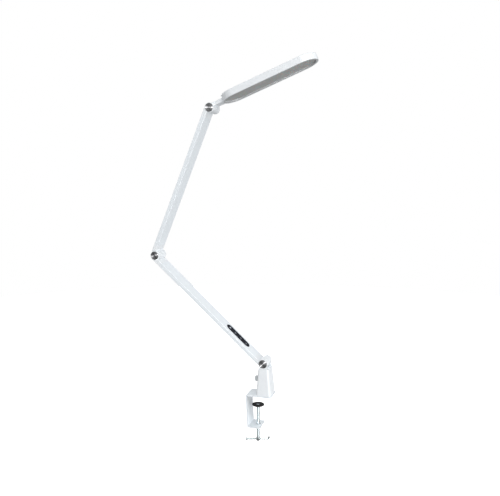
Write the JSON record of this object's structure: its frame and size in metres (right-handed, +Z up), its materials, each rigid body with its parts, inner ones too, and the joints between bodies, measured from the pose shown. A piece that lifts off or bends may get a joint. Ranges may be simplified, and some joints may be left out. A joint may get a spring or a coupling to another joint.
{
  "type": "swing arm desk lamp",
  "caption": "White clamp-on LED desk lamp with two flat swing arms, three friction hinges, a slim stadium-shaped tilting head and a touch control strip.",
  "frame": {"origin": "table-contact face of the clamp, on the post's swivel axis", "axes": "+Z up; the arms swing in the XZ plane and the head reaches towards +X; hinge axes run along Y"},
  "size_m": [0.3842, 0.0676, 0.8556],
  "materials": {
    "white_paint": "satin",
    "white_alloy": "satin",
    "white_abs": "satin",
    "grey_abs": "satin",
    "black_nylon": "matte",
    "black_foam": "matte",
    "nylon": "matte",
    "zinc_steel": "satin",
    "spring_steel": "satin",
    "chrome_steel": "polished",
    "brass": "satin",
    "spun_gunmetal": "spun",
    "friction_fibre": "matte",
    "black_gloss": "gloss",
    "icon_white": "gloss",
    "circuit_board": "satin",
    "circuit_white": "satin",
    "led_phosphor": "gloss",
    "bare_alloy": "satin",
    "diffuser_plastic": "satin"
  },
  "bodies": {
    "clamp": {"clamp_frame": "white_paint", "table_liner": "black_foam", "swivel_spigot": "zinc_steel", "jaw_nut": "zinc_steel", "spigot_clip": "spring_steel"},
    "pad": {"pressure_pad": "black_nylon"},
    "clamp_screw": {"clamp_screw": "chrome_steel", "pad_clip": "spring_steel"},
    "tee_bar": {"tee_bar": "chrome_steel"},
    "post": {"post_shell": "white_abs", "post_foot": "white_abs", "foot_screws": "zinc_steel", "swivel_bush": "nylon", "thrust_washer": "nylon", "dc_inlet": "black_nylon", "base_hinge_bolt": "zinc_steel", "base_hinge_nut": "zinc_steel", "base_hinge_friction_discs": "friction_fibre", "base_hinge_caps": "spun_gunmetal"},
    "lock_tip": {"lock_tip": "brass"},
    "lock_knob": {"lock_knob": "grey_abs", "lock_knob_cap": "grey_abs", "lock_stud": "zinc_steel"},
    "lower_arm": {"lower_arm_tube": "white_alloy", "lower_arm_knuckle": "white_abs", "lower_arm_fork": "white_abs", "lower_arm_screws": "zinc_steel", "control_lens": "black_gloss", "control_icons": "icon_white", "touch_pads": "spring_steel", "touch_board": "circuit_board", "board_carrier": "nylon", "base_hinge_bush": "nylon", "elbow_hinge_bolt": "zinc_steel", "elbow_hinge_nut": "zinc_steel", "elbow_hinge_friction_discs": "friction_fibre", "elbow_hinge_caps": "spun_gunmetal"},
    "upper_arm": {"upper_arm_tube": "white_alloy", "upper_arm_knuckle": "white_abs", "upper_arm_fork": "white_abs", "upper_arm_screws": "zinc_steel", "elbow_hinge_bush": "nylon", "head_hinge_bolt": "zinc_steel", "head_hinge_nut": "zinc_steel", "head_hinge_friction_discs": "friction_fibre", "head_hinge_caps": "spun_gunmetal"},
    "head": {"head_neck": "white_abs", "head_shell": "white_abs", "head_bezel": "white_abs", "diffuser": "diffuser_plastic", "reflector_frame": "nylon", "led_board": "circuit_white", "leds": "led_phosphor", "heat_sink": "bare_alloy", "driver_board": "circuit_board", "head_screws": "zinc_steel", "neck_screws": "zinc_steel", "head_hinge_bush": "nylon"}
  },
  "joints": [
    {"name": "post_swivel", "type": "hinge", "parent": "clamp", "child": "post", "pos_m": [0, 0, 0.02], "axis": [0, 0, 1], "range_deg": [-170, 170]},
    {"name": "lower_arm_tilt", "type": "hinge", "parent": "post", "child": "lower_arm", "pos_m": [0, 0, 0.0775], "axis": [0, 1, 0], "range_deg": [-25, 100]},
    {"name": "elbow_tilt", "type": "hinge", "parent": "lower_arm", "child": "upper_arm", "pos_m": [-0.26092, 0, 0.31079], "axis": [0, 1, 0], "range_deg": [-65, 55]},
    {"name": "head_tilt", "type": "hinge", "parent": "upper_arm", "child": "head", "pos_m": [-0.12334, 0, 0.6413], "axis": [0, 1, 0], "range_deg": [-38, 100]},
    {"name": "pad_lift", "type": "slide", "parent": "clamp", "child": "pad", "axis": [0, 0, 1], "range_m": [-0.04, 0.02]},
    {"name": "screw_turn", "type": "hinge", "parent": "pad", "child": "clamp_screw", "pos_m": [-0.0163, 0, -0.06], "axis": [0, 0, 1], "range_deg": [-11525, 5765]},
    {"name": "tee_bar_slide", "type": "slide", "parent": "clamp_screw", "child": "tee_bar", "axis": [0.9537, 0.3007, 0], "range_m": [-0.017, 0.02]},
    {"name": "lock_tip_travel", "type": "slide", "parent": "post", "child": "lock_tip", "axis": [1, 0, 0], "range_m": [-0.0016, 0]},
    {"name": "lock_knob_turn", "type": "hinge", "parent": "lock_tip", "child": "lock_knob", "pos_m": [-0.015, 0, 0.0375], "axis": [1, 0, 0], "range_deg": [-721, 1]}
  ],
  "couplings": [
    {"joint": "screw_turn", "follows": "pad_lift", "rad_per_m": 5026.5},
    {"joint": "lock_knob_turn", "follows": "lock_tip_travel", "rad_per_m": 7854}
  ]
}
